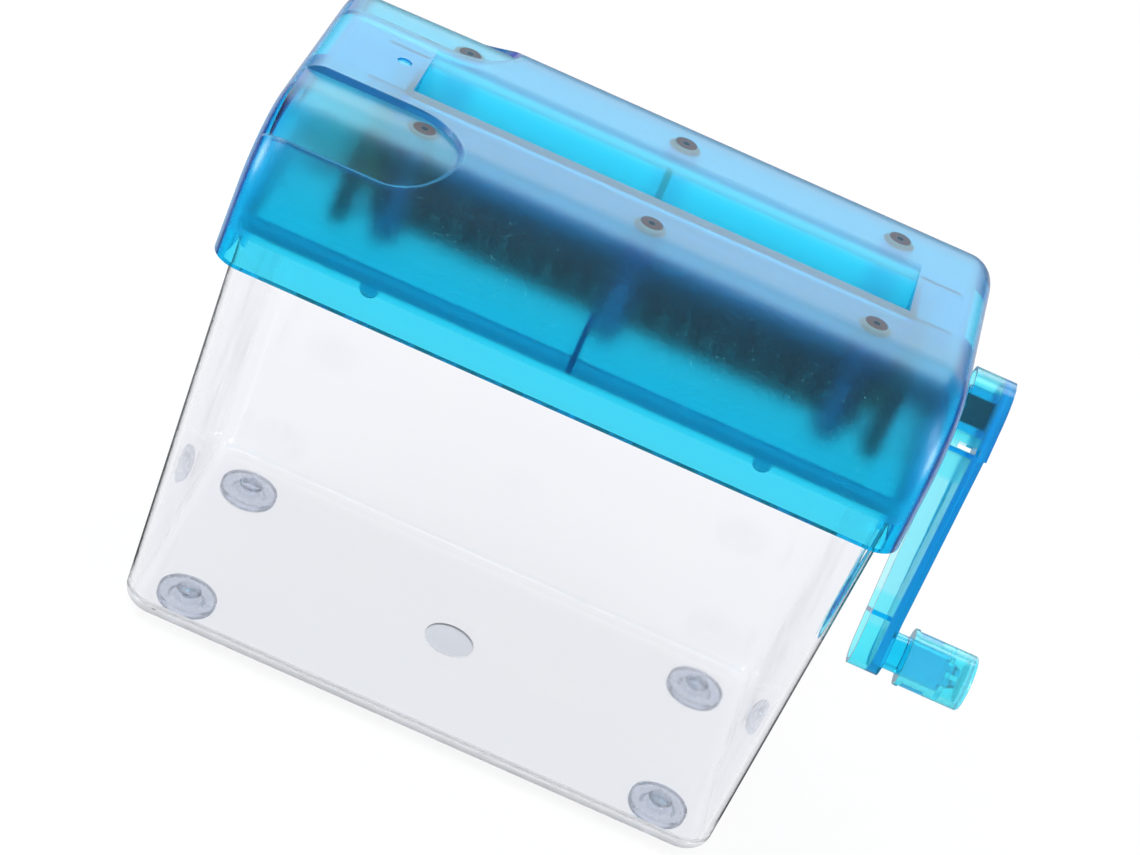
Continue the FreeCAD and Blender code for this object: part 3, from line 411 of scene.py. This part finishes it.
def scoop_step_shade(material, place):
    """Mask of the painted shade along the steps around the finger scoops, by the distance from the drafted
    wall of each tongue.
    """
    inward = minus(material, size_of(material, place[1]), SCOOP_EDGE)
    rise = minus(material, place[2], HEAD_TOP)
    sine, cosine = math.sin(SCOOP_LEAN), math.cos(SCOOP_LEAN)
    across = minus(material, product(material, inward, cosine), product(material, rise, sine))
    height = total(material, product(material, inward, sine), product(material, rise, cosine))
    along = maths(material, "MAXIMUM", minus(material, place[0], SCOOP_ROUND), 0.0)
    reach = distance(material, along, minus(material, across, SCOOP_HALF))
    wall = total(material, product(material, height, math.tan(SCOOP_DRAFT)), SCOOP_HALF)
    apart = size_of(material, minus(material, reach, wall))
    near = ramp(material, apart, *SCOOP_NEAR, 1.0, 0.0)
    return product(material, near, over(material, place[2], HEAD_TOP - SCOOP_DROP))


def hopper_spot(material, place):
    """Mask of the hopper's walls below the head's top."""
    return product(
        material,
        over(material, place[1], HOPPER_FRONT),
        under(material, place[1], HOPPER_REAR),
        ramp(material, place[2], HEAD_TOP - HOPPER_FADE, HEAD_TOP - HOPPER_LIP, 1.0, 0.0),
        over(material, place[2], HEAD_TOP - HOPPER_DEPTH),
    )


def clear_through(material, shader, haze):
    """See-through plastic, but for a share that is hazy."""
    clear = maths(material, "SUBTRACT", 1.0, haze, clamp=True)
    link(material, clear, shader.inputs["Transmission Weight"])
    shader.inputs["IOR"].default_value = PLASTIC_IOR


def blue_cover():
    """Frosted outer skin with sparkling grains, glossy skirt and ends, in blue see-through plastic, with
    painted shade over the screw posts and along the steps around the scoops.
    """
    material, shader = new_material("blue_cover_plastic")
    place, facing = places(material)
    frost, end = cover_skin(material, place, facing)
    top = product(material, frost, ramp(material, facing[2], *TOP_TURN))
    hopper = product(material, frost, hopper_spot(material, place))
    # ring and pilot are painted shade over the screw posts
    ring, pilot = [product(material, top, mark) for mark in post_shade_marks(material, place)]
    # scoop is painted shade along the steps around the finger scoops
    scoop = product(material, frost, scoop_step_shade(material, place))
    grain = noise(material, FROST_GRAIN, detail=3.0, roughness=0.6)
    waves = noise(material, COVER_WAVES)
    specks = ramp(material, noise(material, FROST_SPECKS, detail=1.0), *SPECK_RANGE)
    sparkle = product(material, frost, specks)
    tone = tint(material, frost, CLEAR_TONE, FROST_TONE)
    haze = total(material, product(material, top, TOP_HAZE), product(material, sparkle, SPECK_HAZE))
    marks = (
        (hopper, HOPPER_TONE, HOPPER_HAZE),
        (end, END_TONE, END_HAZE),
        (ring, POST_RING_SHADE_TONE, POST_SHADE_HAZE),
        (pilot, PILOT_SHADE_TONE, POST_SHADE_HAZE),
        (scoop, SCOOP_SHADE_TONE, SCOOP_SHADE_HAZE),
    )
    for mask, colour, share in marks:
        tone = tint(material, mask, tone, colour)
        haze = total(material, haze, product(material, mask, share))
    link(material, tone, shader.inputs["Base Color"])
    frosted = product(material, frost, total(material, product(material, grain, GRAIN_ROUGH), FROST_ROUGH))
    dull = product(material, total(material, ring, pilot), POST_DULL)
    link(material, total(material, frosted, dull, GLOSS_ROUGH), shader.inputs["Roughness"])
    clear_through(material, shader, haze)
    height = total(material, product(material, grain, frost, GRAIN_HEIGHT), waves)
    bump(material, shader, height, COVER_RELIEF, WAVE_DEPTH)
    absorb(material, BLUE_LEFT, BLUE_DENSITY)
    return material


def blue_frame():
    """Inner blue plastic, hazy along its rim, with painted shade on the rib at the middle of the front."""
    material, shader = new_material("blue_frame_plastic")
    place = places(material)[0]
    sideways, across = [size_of(material, axis) for axis in place[:2]]
    rim = maths(
        material, "MAXIMUM",
        rising(material, sideways, FRAME_CORNER.x - FRAME_RIM, SOFT_EDGE),
        rising(material, across, FRAME_CORNER.y - FRAME_RIM, SOFT_EDGE),
    )
    # Painted shade: a dark strip along the rib at the middle of the front
    rib = product(
        material,
        under(material, sideways, RIB_HALF),
        under(material, place[1], RIB_REAR - FRAME_CORNER.y),
    )
    waves = noise(material, SMALL_WAVES)
    tone = tint(material, rim, tint(material, waves, *WAVE_TONES), RIM_TONE)
    link(material, tint(material, rib, tone, RIB_SHADE_TONE), shader.inputs["Base Color"])
    link(material, ramp(material, waves, *NOISE_RANGE, *FRAME_ROUGH), shader.inputs["Roughness"])
    haze = maths(material, "MAXIMUM", product(material, rim, RIM_HAZE), product(material, rib, RIB_SHADE_HAZE))
    clear_through(material, shader, haze)
    bump(material, shader, waves, SMALL_RELIEF, WAVE_DEPTH)
    absorb(material, BLUE_LEFT, FRAME_DENSITY)
    return material


def blue_crank():
    """Glossy blue plastic with a faint waviness, deeper at the hub and the boss, hazy along the web."""
    material, shader = new_material("blue_crank_plastic")
    place = places(material)[0]
    waves = noise(material, SMALL_WAVES)
    hub = over(material, place[2], HUB_LOW)
    boss = product(material, under(material, place[2], BOSS_HIGH), under(material, place[0], BOSS_FACE))
    taper = product(material, minus(material, HUB_MIDDLE, place[2]), WEB_TAPER)
    outward = total(material, place[0], taper)
    web = product(
        material,
        rising(material, outward, WEB_INNER, FINE_EDGE),
        falling(material, outward, WEB_OUTER, FINE_EDGE),
    )
    tone = tint(material, waves, *WAVE_TONES)
    tone = tint(material, maths(material, "MAXIMUM", hub, boss), tone, HUB_TONE)
    link(material, tint(material, web, tone, WEB_TONE), shader.inputs["Base Color"])
    rough = ramp(material, waves, *NOISE_RANGE, *CRANK_ROUGH)
    link(material, total(material, rough, product(material, hub, HUB_DULL)), shader.inputs["Roughness"])
    clear_through(material, shader, product(material, web, WEB_HAZE))
    bump(material, shader, waves, SMALL_RELIEF, WAVE_DEPTH)
    absorb(material, BLUE_LEFT, CRANK_DENSITY)
    return material


def blue_knob():
    """Softly frosted blue plastic, milkier at the knob's closed end."""
    material, shader = new_material("blue_knob_plastic")
    waves = noise(material, SMALL_WAVES)
    cap = rising(material, places(material)[0][0], KNOB_CAP, MIDDLE_EDGE)
    link(material, tint(material, cap, KNOB_TONE, CAP_TONE), shader.inputs["Base Color"])
    link(material, ramp(material, waves, *NOISE_RANGE, *KNOB_ROUGH), shader.inputs["Roughness"])
    clear_through(material, shader, total(material, product(material, cap, CAP_HAZE), KNOB_HAZE))
    bump(material, shader, waves, SMALL_RELIEF, WAVE_DEPTH)
    absorb(material, BLUE_LEFT, KNOB_DENSITY)
    return material


def gate_spot(material, place):
    """Mask of the round moulding mark under the bin's floor."""
    reach = distance(material, place[0], place[1])
    return product(material, under(material, reach, GATE_RADIUS), under(material, place[2], GATE_TOP))


def clear_bin():
    """Clear plastic with a faint cool cast, a little milky where its base rounds over."""
    material, shader = new_material("clear_bin_plastic")
    place, facing = places(material)
    waves = noise(material, BIN_WAVES)
    gate = gate_spot(material, place)
    lip = product(
        material,
        ramp(material, facing[2], *LIP_UPPER, 1.0, 0.0),
        ramp(material, facing[2], *LIP_LOWER),
    )
    tone = tint(material, gate, tint(material, waves, *BIN_TONES), GATE_TONE)
    link(material, tone, shader.inputs["Base Color"])
    rough = ramp(material, waves, *NOISE_RANGE, *BIN_ROUGH)
    dull = total(material, product(material, gate, GATE_DULL), product(material, lip, LIP_DULL))
    link(material, total(material, rough, dull), shader.inputs["Roughness"])
    clear_through(material, shader, product(material, lip, LIP_HAZE))
    bump(material, shader, waves, BIN_RELIEF, WAVE_DEPTH)
    absorb(material, CLEAR_LEFT, CLEAR_DENSITY)
    return material


def foot_vinyl():
    """Soft grey-blue see-through vinyl."""
    material, shader = new_material("foot_vinyl")
    clouds = noise(material, VINYL_CLOUDS, detail=3.0)
    link(material, tint(material, clouds, *VINYL_TONES), shader.inputs["Base Color"])
    link(material, ramp(material, clouds, *NOISE_RANGE, *VINYL_ROUGH), shader.inputs["Roughness"])
    shader.inputs["Transmission Weight"].default_value = VINYL_CLEAR
    shader.inputs["IOR"].default_value = VINYL_IOR
    bump(material, shader, clouds, VINYL_RELIEF, VINYL_DEPTH)
    return material


def grained(name, tones, rough, scale):
    """Solid material with a fine uneven grain in its tone, its polish and its surface."""
    material, shader = new_material(name)
    grain = noise(material, scale, detail=4.0, roughness=0.6)
    link(material, tint(material, grain, *tones), shader.inputs["Base Color"])
    link(material, ramp(material, grain, *NOISE_RANGE, *rough), shader.inputs["Roughness"])
    bump(material, shader, grain, GRAIN_RELIEF, GRAIN_DEPTH)
    return material


def metal(name, tones, rough, scale):
    """Metal with fine uneven polish."""
    material = grained(name, tones, rough, scale)
    material.node_tree.nodes["Principled BSDF"].inputs["Metallic"].default_value = 1.0
    return material


def dress_nodes():
    """Materials of all CAD nodes."""
    paint(blue_cover(), "top_cover")
    paint(blue_frame(), "lower_frame")
    paint(blue_crank(), "crank_arm")
    paint(blue_knob(), "crank_knob")
    paint(clear_bin(), "waste_bin")
    paint(foot_vinyl(), *[name for name in NODES if name.startswith("foot_")])
    # Cutter discs painted near black as painted shade inside the head
    cutter = metal("cutter_steel", CUTTER_SHADE_TONES, rough=(0.4, 0.6), scale=900.0)
    paint(cutter, "front_cutter_discs", "rear_cutter_discs")
    # Shafts painted dark navy as painted shade and blue cast inside the hub
    shaft = metal("shaft_steel", SHAFT_SHADE_TONES, rough=(0.35, 0.5), scale=700.0)
    paint(shaft, "drive_shaft", "idler_shaft")
    screw = metal("screw_steel", SCREW_TONES, rough=(0.3, 0.45), scale=900.0)
    paint(screw, "cover_screws", "front_retaining_ring", "rear_retaining_ring")
    brass = metal("bush_brass", BRASS_TONES, rough=(0.28, 0.42), scale=800.0)
    paint(brass, *[name for name in NODES if name.endswith("_bush")])
    black = grained("black_plastic", BLACK_TONES, rough=(0.4, 0.6), scale=1500.0)
    paint(black, "left_bearing_plate", "right_bearing_plate", "front_comb", "rear_comb",
          "front_spacers", "rear_spacers")
    nylon = grained("gear_nylon", NYLON_TONES, rough=(0.4, 0.55), scale=1200.0)
    paint(nylon, "front_gear", "rear_gear")


def ray_kinds(owner):
    """Sockets that are 1 for rays from the camera, for mirrored rays and for rays through plastic."""
    path = add(owner, "ShaderNodeLightPath")
    through = path.outputs["Is Transmission Ray"]
    mirrored = maths(owner, "SUBTRACT", path.outputs["Is Glossy Ray"], through, clamp=True)
    return path.outputs["Is Camera Ray"], mirrored, through


def blend(material, share, first, second):
    """Shader between two others by a socket."""
    mix = add(material, "ShaderNodeMixShader")
    link(material, share, mix.inputs["Fac"])
    link(material, first, mix.inputs[1])
    link(material, second, mix.inputs[2])
    return mix.outputs["Shader"]


def make_floor():
    """Pale floor that shows white, keeps a soft shadow and looks darker in front when mirrored."""
    mesh = bpy.data.meshes.new("studio_floor")
    signs = ((-1, -1), (1, -1), (1, 1), (-1, 1))
    corners = [(x * FLOOR_HALF, y * FLOOR_HALF, -FLOOR_DROP) for x, y in signs]
    mesh.from_pydata(corners, [], [(0, 1, 2, 3)])
    floor = bpy.data.objects.new("studio_floor", mesh)
    bpy.context.scene.collection.objects.link(floor)
    material, shader = new_material("studio_floor")
    shader.inputs["Base Color"].default_value = FLOOR_COLOUR
    shader.inputs["Roughness"].default_value = 0.9
    shader.inputs["Specular IOR Level"].default_value = 0.0
    glow = add(material, "ShaderNodeEmission")
    glow.inputs["Color"].default_value = WORLD_WHITE
    camera, mirrored, through = ray_kinds(material)
    seen = maths(material, "MAXIMUM", camera, through)
    share = maths(material, "MULTIPLY", seen, FLOOR_GLOW_SHARE)
    direct = blend(material, share, shader.outputs["BSDF"], glow.outputs["Emission"])
    rear = ramp(material, places(material)[0][1], MIRROR_FRONT, MIRROR_REAR)
    mirror = add(material, "ShaderNodeEmission")
    link(material, tint(material, rear, FRONT_DIM, REAR_FLOOR), mirror.inputs["Color"])
    surface = blend(material, mirrored, direct, mirror.outputs["Emission"])
    link(material, surface, material.node_tree.nodes["Material Output"].inputs["Surface"])
    mesh.materials.append(material)


def make_world():
    """White sky to the camera, a grey horizon through plastic, and a bright rear for reflections."""
    world = bpy.data.worlds.new("studio_world")
    world.use_nodes = True
    bpy.context.scene.world = world
    background = world.node_tree.nodes["Background"]
    place = add(world, "ShaderNodeTexCoord")
    toward = add(world, "ShaderNodeSeparateXYZ")
    link(world, place.outputs["Generated"], toward.inputs["Vector"])
    height = ramp(world, toward.outputs["Z"], 0.0, HORIZON_HEIGHT)
    behind = ramp(world, toward.outputs["Y"], REAR_LOW, REAR_HIGH)
    camera, mirrored, through = ray_kinds(world)
    sky = tint(world, mirrored, WORLD_LIGHT,
               tint(world, maths(world, "MULTIPLY", behind, height), FRONT_DIM, REAR_BRIGHT))
    sky = tint(world, through, sky, tint(world, height, HORIZON_GREY, WORLD_WHITE))
    sky = tint(world, camera, sky, WORLD_WHITE)
    link(world, sky, background.inputs["Color"])


def area_light(name, place, target, size, power):
    """Rectangular softbox aimed at a target."""
    data = bpy.data.lights.new(name, "AREA")
    data.shape = "RECTANGLE"
    data.size, data.size_y = size
    data.energy = power
    lamp = bpy.data.objects.new(name, data)
    bpy.context.scene.collection.objects.link(lamp)
    aim = Vector(target) - Vector(place)
    lamp.location = place
    lamp.rotation_euler = aim.to_track_quat("-Z", "Y").to_euler()


def make_lights():
    """Softboxes around the part, aimed at its middle."""
    middle = (cad_box[0] + cad_box[1]) / 2
    for name, place, size, power in SOFTBOXES:
        area_light(name, place, middle, size, power)


def make_camera():
    """Camera from its place, heading, pitch and roll."""
    forward = Vector((math.sin(CAMERA_HEADING) * math.cos(CAMERA_PITCH),
                      math.cos(CAMERA_HEADING) * math.cos(CAMERA_PITCH), -math.sin(CAMERA_PITCH)))
    level = Vector((math.cos(CAMERA_HEADING), -math.sin(CAMERA_HEADING), 0))
    upright = level.cross(forward)
    right = level * math.cos(CAMERA_ROLL) + upright * math.sin(CAMERA_ROLL)
    up = upright * math.cos(CAMERA_ROLL) - level * math.sin(CAMERA_ROLL)
    data = bpy.data.cameras.new("photo_camera")
    data.sensor_width = SENSOR_WIDTH
    data.lens = FOCAL_PIXELS * SENSOR_WIDTH / IMAGE_WIDTH
    data.clip_start = 0.01
    camera = bpy.data.objects.new("photo_camera", data)
    bpy.context.scene.collection.objects.link(camera)
    turn = Matrix((right, up, -forward)).transposed().to_4x4()
    camera.matrix_world = Matrix.Translation(CAMERA_PLACE) @ turn
    bpy.context.scene.camera = camera


def light_paths():
    """Enough bounces for light to pass the head's and the bin's walls one after another."""
    cycles = bpy.context.scene.cycles
    cycles.max_bounces = BOUNCES
    cycles.transmission_bounces = BOUNCES


dress_nodes()
make_floor()
make_world()
make_lights()
make_camera()
light_paths()
bpy.context.scene.view_settings.view_transform = "Standard"
